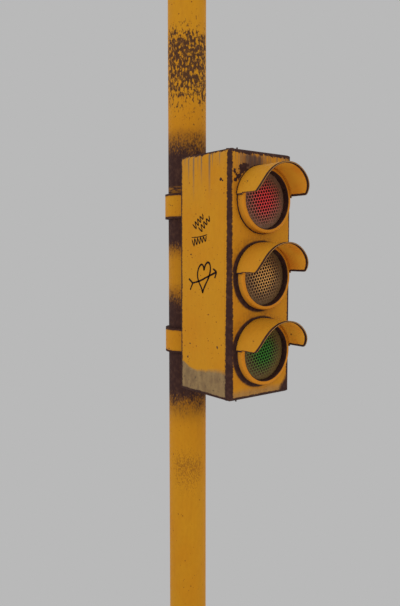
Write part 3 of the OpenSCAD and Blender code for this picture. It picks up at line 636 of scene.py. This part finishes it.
def lamp_glass():
    """Frosted bulb with its screw cap: the cap is the part behind the neck."""
    graph = Graph("lamp_glass")
    frost = graph.noise(300, 3)
    cap = graph.ramp(graph.y, HEAD_FRONT + 0.098, HEAD_FRONT + 0.0985)
    thread = graph.math("SINE", graph.mul(graph.y, 2 * math.pi / 0.0036))
    colour = graph.mix(cap, linear(236, 232, 220), linear(170, 150, 96))
    height = graph.add(graph.mul(thread, cap), graph.mul(frost, 0.15))
    return graph.finish(colour, graph.mix_value(cap, 0.22, 0.38), graph.bump(height, 0.0005, 0.8),
                        metallic=cap)


# Colours of each lens: in the middle, half way out, and at its greyer rim
LENS_SHADES = {
    "red": (linear(204, 48, 50), linear(154, 74, 60), linear(110, 78, 58)),
    "amber": (linear(200, 146, 76), linear(132, 96, 54), linear(98, 72, 44)),
    "green": (linear(34, 108, 12), linear(74, 89, 26), linear(98, 78, 42)),
}
LENS_EDGE = 0.092


def lens_share(graph, name, scale, shift, wander):
    """Share of the way from the middle of a lens to its edge, made to wander by cloud noise."""
    share = graph.math("DIVIDE", graph.radius(name), LENS_EDGE)
    return graph.add(share, graph.sway(scale, 4, wander, shift=shift))


def lens_face_material(name):
    """The coloured face: full colour in the middle, greyer towards its rim."""
    middle, between, rim = LENS_SHADES[name]
    graph = Graph("lens_face_" + name)
    colour = graph.stops(lens_share(graph, name, 28, 3, 0.35),
                         [(0.0, middle), (0.26, middle), (0.62, between), (0.92, rim)], colours=True)
    grain = graph.noise(350, 4, shift=1)
    colour = graph.mix(graph.ramp(grain, 0.45, 0.8, 0.0, 0.35), colour, rim)
    return graph.finish(colour, graph.ramp(grain, 0.2, 0.8, 0.45, 0.65),
                        graph.bump(grain, 0.0002, 0.5), specular=0.2)


def lens_body_material(name):
    """The lens behind its face: near black as painted shade seen through the dots, greyer at the rim,
    coloured at the back.
    """
    between, rim = LENS_SHADES[name][1:]
    graph = Graph("lens_body_" + name)
    # Painted shade: the front is near black, as the dark behind the dots, and greyer towards the rim
    front = graph.stops(lens_share(graph, name, 30, 5, 0.30),
                        [(0.0, linear(4, 2, 2)), (0.44, linear(12, 6, 5)), (0.70, linear(58, 38, 28)),
                         (0.90, rim)], colours=True)
    back = graph.ramp(graph.y, HEAD_FRONT - 0.0030, HEAD_FRONT - 0.0010)
    ribs = graph.math("SINE", graph.mul(graph.add(graph.x, graph.z), 2 * math.pi / 0.006))
    return graph.finish(graph.mix(back, front, between), graph.mix_value(back, 0.8, 0.35),
                        graph.bump(graph.mul(ribs, back), 0.0006, 0.5), specular=0.1)


# ---- Meshes ----

def new_piece(name, vertices, faces, material, body, smooth=True):
    """A mesh object that rides on a body."""
    mesh = bpy.data.meshes.new(name)
    mesh.from_pydata(vertices, [], faces)
    mesh.materials.append(material)
    mesh.polygons.foreach_set("use_smooth", [smooth] * len(mesh.polygons))
    mesh.validate()
    piece = bpy.data.objects.new(name, mesh)
    scene.collection.objects.link(piece)
    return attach(piece, body)


def bezier(points, t):
    """Value of a cubic curve at t, from its four control values."""
    a, b, c, d = points
    return (1 - t) ** 3 * a + 3 * t * (1 - t) ** 2 * b + 3 * t * t * (1 - t) * c + t ** 3 * d


VISOR_WALL = 0.0044
BEZEL_STAND = HEAD_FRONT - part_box("bezel_red")[0].y
# Added to the distance from the lower edge before wear is read, left and right of the lens
HEM_CLEAN = {"left": 0.0062, "right": 0.0015}
RIM_BULGE = 0.0006
# The visor's skirt ends this far above the lens centre, and its tabs beside the ring reach lower
SKIRT_UP = 0.016
SKIRT_LENGTH = 0.092
TAB_DROP = LENS_Z["red"] + SKIRT_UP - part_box("visor_red")[0].z
VISOR_LENGTH = HEAD_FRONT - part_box("visor_red")[0].y
# Front edge of a visor, seen from its side: forwards, up from the lens centre
VISOR_FRONT = ((SKIRT_LENGTH, SKIRT_UP), (SKIRT_LENGTH + 0.030, SKIRT_UP + 0.033),
               (VISOR_LENGTH - 0.007, VISOR_RADIUS - 0.038), (VISOR_LENGTH, VISOR_RADIUS))
FRONT_STEPS = 60
SMOOTH_FRONT = [tuple(bezier([point[k] for point in VISOR_FRONT], i / FRONT_STEPS) for k in (0, 1))
                for i in range(FRONT_STEPS + 1)]
# The skirt's corner, rounded: the first points of the curve give way to a short arc
CORNER = [(SKIRT_LENGTH - 0.0055, SKIRT_UP), (SKIRT_LENGTH - 0.0022, SKIRT_UP + 0.0006),
          (SKIRT_LENGTH + 0.0006, SKIRT_UP + 0.0020), (SKIRT_LENGTH + 0.0030, SKIRT_UP + 0.0040)]
FRONT_CURVE = CORNER + [point for point in SMOOTH_FRONT if point[1] > SKIRT_UP + 0.0050]


def visor_reach(up):
    """How far forwards the visor's sheet runs at a height above the lens centre."""
    if up < SKIRT_UP:
        return BEZEL_STAND
    for (near, low), (far, high) in zip(FRONT_CURVE, FRONT_CURVE[1:]):
        if up <= high:
            return near + (far - near) * (up - low) / (high - low)
    return VISOR_LENGTH


def visor_rows():
    """Shares of the way round a visor. Below 0 and above 1 they run down its two tabs."""
    low = [-1.0, -0.5, -0.0005, 0.0, 0.0015, 0.003, 0.005, 0.0075, 0.0105, 0.014, 0.018]
    middle = [0.018 + 0.964 * k / 80 for k in range(1, 80)]
    return low + middle + [1 - share for share in reversed(low)]


def make_visor(name, material):
    """A rolled sheet hood: two skins joined round their border by a rounded rim."""
    outer, inner = VISOR_RADIUS, VISOR_RADIUS - VISOR_WALL
    rows = visor_rows()
    steps = [j / 20 for j in range(20)] + [0.972, 0.988, 1.0]
    vertices, rim_distance, rim_face, inside = [], [], [], []

    def add(radius, share, step, face, bulge=0.0):
        """One vertex: share of the way round, step of the way forwards; face is 1 outside, -1 inside."""
        below = max(-share, share - 1, 0.0)
        start = math.asin(SKIRT_UP / radius)
        angle = start + (math.pi - 2 * start) * min(max(share, 0.0), 1.0)
        if below:
            angle = math.asin((SKIRT_UP - TAB_DROP * below) / radius)
            angle = angle if share < 0 else math.pi - angle
        up = radius * math.sin(angle)
        reach = visor_reach(up if below else max(up, SKIRT_UP))
        forward = min(reach * step, reach - RIM_BULGE) + bulge
        vertices.append((radius * math.cos(angle), HEAD_FRONT - forward, LENS_Z[name] + up))
        hem = min(share, 1 - share) * (math.pi - 2 * start) * radius
        hem += HEM_CLEAN["left" if share > 0.5 else "right"]
        if below:
            hem += (1 - below) * TAB_DROP
        elif forward < BEZEL_STAND:
            hem += TAB_DROP
        rim_distance.append(max(min(hem, reach * (1 - step)), 0.0))
        rim_face.append(face)
        inside.append(1.0 if face < 0 else 0.0)
        return len(vertices) - 1

    grid = {}
    for skin, radius in ((1, outer), (-1, inner)):
        for i, share in enumerate(rows):
            for j, step in enumerate(steps):
                grid[skin, i, j] = add(radius, share, step, float(skin))
    faces = []
    around, last = len(rows) - 1, len(steps) - 1
    for i in range(around):
        for j in range(last):
            quad = [(i, j), (i + 1, j), (i + 1, j + 1), (i, j + 1)]
            faces.append([grid[1, a, b] for a, b in quad])
            faces.append([grid[-1, a, b] for a, b in reversed(quad)])
    border = ([(i, 0) for i in range(around)] + [(around, j) for j in range(last)]
              + [(i, last) for i in range(around, 0, -1)] + [(0, j) for j in range(last, 0, -1)])
    # Between the skins, the rim has two more rows of vertices, at these shares of the wall
    middles = {}
    for i, j in border:
        for k, share in enumerate((0.28, 0.72)):
            bulge = RIM_BULGE if j == last else 0.0
            radius = outer + (inner - outer) * share
            middles[i, j, k] = add(radius, rows[i], steps[j], (1 - 2 * share) * 0.45, bulge)
    for (a, b), (c, d) in zip(border, border[1:] + border[:1]):
        left = [grid[1, a, b], middles[a, b, 0], middles[a, b, 1], grid[-1, a, b]]
        right = [grid[1, c, d], middles[c, d, 0], middles[c, d, 1], grid[-1, c, d]]
        for k in range(3):
            faces.append([right[k], left[k], left[k + 1], right[k + 1]])
    piece = new_piece("hood_" + name, vertices, faces, material, "door")
    for kind, values in zip(VISOR_ATTRIBUTES, (rim_distance, rim_face, inside)):
        piece.data.attributes.new(kind, "FLOAT", "POINT").data.foreach_set("value", values)
    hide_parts("visor_" + name)


DOT_PITCH = 0.0112
DOT_RADIUS = 0.0045
DOT_SIDES = 12
DOT_TURN = math.radians(9.5)
DOT_SHIFT = (-0.0033, -0.0030)
# The CAD lens stands this far in front of the door's face, and the dotted plate a small gap before it
LENS_STAND = 0.005
FACE_GAP = 0.0002
FACE_THICKNESS = 0.0005
FACE_RADIUS = 0.0916
FACE_DOME = 0.006


def make_lens_face(name):
    """A thin domed plate with round holes on a turned hexagonal grid."""
    rim_y = HEAD_FRONT - LENS_STAND - FACE_GAP
    vertices, index = [], {}

    def dome(x, z, layer):
        """Vertex on the plate's front (layer 0) or back (layer 1), kept inside its rim."""
        distance = math.hypot(x, z)
        if distance > FACE_RADIUS:
            x, z = x * FACE_RADIUS / distance, z * FACE_RADIUS / distance
        key = (round(x, 6), round(z, 6), layer)
        if key not in index:
            rise = FACE_DOME * (1 - (math.hypot(x, z) / LENS_EDGE) ** 2)
            y = rim_y - rise - FACE_THICKNESS * (1 - layer)
            index[key] = len(vertices)
            vertices.append((x, y, LENS_Z[name] + z))
        return index[key]

    faces = []
    corner_reach = DOT_PITCH / math.sqrt(3)
    count = int(FACE_RADIUS / DOT_PITCH) + 3
    for row in range(-count, count + 1):
        for column in range(-count, count + 1):
            along = (column + row / 2) * DOT_PITCH
            up = row * DOT_PITCH * math.sqrt(3) / 2
            x = along * math.cos(DOT_TURN) - up * math.sin(DOT_TURN) + DOT_SHIFT[0]
            z = along * math.sin(DOT_TURN) + up * math.cos(DOT_TURN) + DOT_SHIFT[1]
            angles = [DOT_TURN + math.radians(30 + 60 * k) for k in range(6)]
            corners = [(x + corner_reach * math.cos(a), z + corner_reach * math.sin(a)) for a in angles]
            if all(math.hypot(*corner) > FACE_RADIUS for corner in corners):
                continue
            holed = math.hypot(x, z) < FACE_RADIUS - corner_reach - 0.002
            for layer in (0, 1):
                hexagon = [dome(cx, cz, layer) for cx, cz in corners]
                flat = list(dict.fromkeys(hexagon))
                if not holed:
                    if len(flat) > 2:
                        faces.append(flat if layer else flat[::-1])
                    continue
                turns = [angles[0] + 2 * math.pi * k / DOT_SIDES for k in range(DOT_SIDES)]
                ring = [dome(x + DOT_RADIUS * math.cos(turn), z + DOT_RADIUS * math.sin(turn), layer)
                        for turn in turns]
                for k in range(6):
                    patch = [hexagon[k], hexagon[(k + 1) % 6],
                             ring[(2 * k + 2) % DOT_SIDES], ring[2 * k + 1], ring[2 * k]]
                    faces.append(patch if layer else patch[::-1])
                if layer == 0:
                    front_ring = ring
                else:
                    for k in range(DOT_SIDES):
                        after = (k + 1) % DOT_SIDES
                        faces.append([front_ring[k], front_ring[after], ring[after], ring[k]])
    piece = new_piece("lens_face_" + name, vertices, faces, lens_face_material(name), "door", smooth=False)
    close_plate(piece)


def close_plate(piece):
    """Joins the front and back of a plate round its open rim."""
    work = bmesh.new()
    work.from_mesh(piece.data)
    rim = [edge for edge in work.edges if edge.is_boundary]
    bmesh.ops.bridge_loops(work, edges=rim)
    bmesh.ops.recalc_face_normals(work, faces=work.faces)
    work.to_mesh(piece.data)
    work.free()


# ---- Scribbles on the head's left side ----

INK_LIFT = 0.00015
INK_THICKNESS = 0.00015


def smooth_line(points, steps=6):
    """A smooth line through points (Catmull-Rom)."""
    padded = [points[0]] + list(points) + [points[-1]]
    line = []
    for a, b, c, d in zip(padded, padded[1:], padded[2:], padded[3:]):
        for k in range(steps):
            t = k / steps
            line.append(tuple(0.5 * (2 * q + (r - p) * t + (2 * p - 5 * q + 4 * r - s) * t * t
                                     + (3 * q - p - 3 * r + s) * t ** 3)
                              for p, q, r, s in zip(a, b, c, d)))
    return line + [tuple(points[-1])]


def make_stroke(name, line, width, material, seed):
    """A marker stroke: a thin strip along a line of (distance behind the front, height) points."""
    chance = random.Random(seed)
    vertices, faces = [], []
    for k, (behind, height) in enumerate(line):
        before, after = line[max(k - 1, 0)], line[min(k + 1, len(line) - 1)]
        direction = Vector((after[0] - before[0], after[1] - before[1]))
        direction = direction.normalized() if direction.length else Vector((1, 0))
        side = Vector((-direction.y, direction.x))
        half = width / 2 * (0.85 + 0.3 * chance.random()) * (0.6 if k in (0, len(line) - 1) else 1.0)
        for lift in (INK_LIFT, INK_LIFT + INK_THICKNESS):
            for sign in (1, -1):
                vertices.append((HEAD_LEFT - lift, HEAD_FRONT + behind + sign * half * side.x,
                                 height + sign * half * side.y))
    for k in range(len(line) - 1):
        a, b = 4 * k, 4 * k + 4
        for p, q in ((0, 1), (1, 3), (3, 2), (2, 0)):
            faces.append([a + p, a + q, b + q, b + p])
    faces.append([0, 2, 3, 1])
    end = 4 * (len(line) - 1)
    faces.append([end, end + 1, end + 3, end + 2])
    return new_piece(name, vertices, faces, material, "head", smooth=False)


def ink():
    """Faded marker pen, nearly black."""
    graph = Graph("marker_ink")
    fade = graph.ramp(graph.noise(160, 4), 0.45, 0.8)
    return graph.finish(graph.mix(fade, linear(24, 10, 8), linear(50, 28, 20)),
                        graph.ramp(fade, 0, 1, 0.6, 0.8), graph.bump(fade, 0.0001, 0.5), specular=0.05)


# Zigzags: name, start and end as (distance behind the front, height in the head), turns and half height
ZIGZAGS = (("a", (0.183, 0.560), (0.133, 0.596), 8, 0.0125),
           ("b", (0.152, 0.549), (0.099, 0.588), 8, 0.0120),
           ("c", (0.192, 0.508), (0.116, 0.522), 10, 0.0120))
# The arrow, in the same terms: its shaft, and the ends of the two barbs at its tip and its tail
SHAFT = ((0.190, 0.374), (0.150, 0.383), (0.112, 0.397), (0.064, 0.414))
TIP_BARBS = ((0.082, 0.424), (0.074, 0.394))
TAIL_BARBS = ((0.212, 0.388), (0.204, 0.350))
UNDERLINE = ((0.196, 0.526), (0.150, 0.528), (0.113, 0.534))
HEART_AT = (0.131, 0.396)
HEART_POINTS = 40


def on_head(points):
    """Heights above the head's underside turned into heights in the frame."""
    return [(behind, HEAD_BOTTOM + height) for behind, height in points]


def make_scribbles():
    """Generic marks in marker pen: a heart with an arrow through it, and three zigzags."""
    material = ink()
    heart = []
    for k in range(HEART_POINTS + 1):
        t = 2 * math.pi * k / HEART_POINTS + 0.1
        across = 0.034 * math.sin(t) ** 3
        up = 0.0034 * (13 * math.cos(t) - 5 * math.cos(2 * t) - 2 * math.cos(3 * t) - math.cos(4 * t))
        heart.append((HEART_AT[0] - across - 0.10 * up, HEART_AT[1] + up + 0.22 * across + 0.004))
    make_stroke("mark_heart", on_head(heart), 0.0070, material, 1)
    make_stroke("mark_shaft", smooth_line(on_head(SHAFT)), 0.0060, material, 2)
    for k, end in enumerate(TIP_BARBS):
        make_stroke(f"mark_tip_{k}", smooth_line(on_head([SHAFT[-1], end])), 0.0068, material, 3 + k)
    for k, end in enumerate(TAIL_BARBS):
        make_stroke(f"mark_tail_{k}", smooth_line(on_head([SHAFT[0], end])), 0.0064, material, 5 + k)
    for label, start, end, turns, swing in ZIGZAGS:
        run = Vector((end[0] - start[0], end[1] - start[1]))
        side = Vector((-run.y, run.x)).normalized()
        points = []
        for k in range(turns + 1):
            share = k / turns
            height = swing * (1 if k % 2 else -1) * (1 - 0.35 * share)
            points.append(Vector(start) + run * share + side * height)
        line = smooth_line(on_head(points), 4)
        make_stroke("mark_zigzag_" + label, line, 0.0045, material, 10 + ord(label))
    make_stroke("mark_line", smooth_line(on_head(UNDERLINE)), 0.0032, material, 30)


# ---- Weld ----

WELD_SIDES = 8
WELD_RIPPLES = 180
WELD_OFFSET = 0.0015
WELD_RADIUS = 0.0045


def make_pole_weld(material):
    """The rippled bead where the pole meets its base plate."""
    vertices, faces = [], []
    for k in range(WELD_RIPPLES):
        turn = 2 * math.pi * k / WELD_RIPPLES
        swell = WELD_RADIUS * (1 + 0.16 * math.sin(k * 1.9))
        for s in range(WELD_SIDES):
            angle = 2 * math.pi * s / WELD_SIDES
            reach = POLE_RADIUS + WELD_OFFSET + swell * math.cos(angle)
            vertices.append((reach * math.cos(turn), reach * math.sin(turn),
                             PLATE_TOP + WELD_OFFSET + swell * math.sin(angle)))
    for k in range(WELD_RIPPLES):
        here, after = k * WELD_SIDES, (k + 1) % WELD_RIPPLES * WELD_SIDES
        for s in range(WELD_SIDES):
            beside = (s + 1) % WELD_SIDES
            faces.append([here + s, here + beside, after + beside, after + s])
    piece = new_piece("weld_pole_foot", vertices, faces, material, "pole")


# ---- Dressing the CAD nodes ----

def dress(material, *names):
    """Gives CAD nodes a material."""
    for name in names:
        slots = nodes[name].data.materials
        slots.clear()
        slots.append(material)


def each(kind):
    """Names of the three nodes of one kind, one for each lens."""
    return [kind + "_" + name for name in LENS_NAMES]


def dress_frame(base):
    """Gives every CAD node its material; base is the paint of the base and the covers."""
    dress(head_paint(), "casing_back", "casing_sides", "casing_ends", "casing_lip", "casing_lugs",
          "casing_knuckles", "door_panel")
    dress(pole_paint(), "pole_tube")
    dress(clamp_paint(), "upper_clamp", "lower_clamp")
    dress(bezel_paint(), *each("bezel"))
    dress(base, "base_plate", "base_gussets", "hand_hole_cover", "pole_cap")
    steel = metal("fastener_steel", linear(150, 148, 142), linear(112, 96, 80), 0.42)
    dress(steel, "cover_screws", "cap_screws", "clamp_bolts", "clamp_nuts", "bracket_bolts", "hinge_pins",
          "carrier_screws", "lens_clips")
    rusty = metal("rusty_steel", linear(74, 52, 42), linear(54, 38, 30), 0.65)
    dress(rusty, "visor_screws", "latch_top", "latch_bottom", "latch_pivots", "latch_keepers",
          "top_hub_plug", "bottom_hub_plug")
    zinc = metal("zinc_sheet", linear(168, 170, 172), linear(142, 144, 146), 0.45, (1, 1, 0.05))
    dress(zinc, "lamp_carrier")
    polished = metal("reflector_aluminium", linear(220, 222, 224), linear(200, 202, 204), 0.18, (1, 0.1, 1))
    dress(polished, *each("reflector"))
    rubber = plastic("black_rubber", linear(30, 30, 30), linear(66, 62, 56), 0.75)
    dress(rubber, "pole_grommet", "door_gasket", *each("gasket"))
    black = plastic("black_plastic", linear(26, 26, 28), linear(54, 52, 50), 0.45)
    dress(black, "cable_gland", *each("lampholder"))
    dress(plastic("cream_plastic", linear(214, 206, 182), linear(176, 160, 128), 0.5), "terminal_block")
    dress(plastic("cable_sheath", linear(36, 36, 40), linear(60, 58, 56), 0.6), "wiring")
    dress(lamp_glass(), *each("lamp"))
    for name in LENS_NAMES:
        dress(lens_body_material(name), "lens_" + name)


make_camera()
make_world()
make_floor()
for light_name, light_place, light_power in LIGHTS:
    make_light(light_name, light_place, light_power)
base_material = base_paint()
dress_frame(base_material)
visor_material = visor_paint()
for lens_name in LENS_NAMES:
    make_visor(lens_name, visor_material)
    make_lens_face(lens_name)
make_scribbles()
make_pole_weld(base_material)
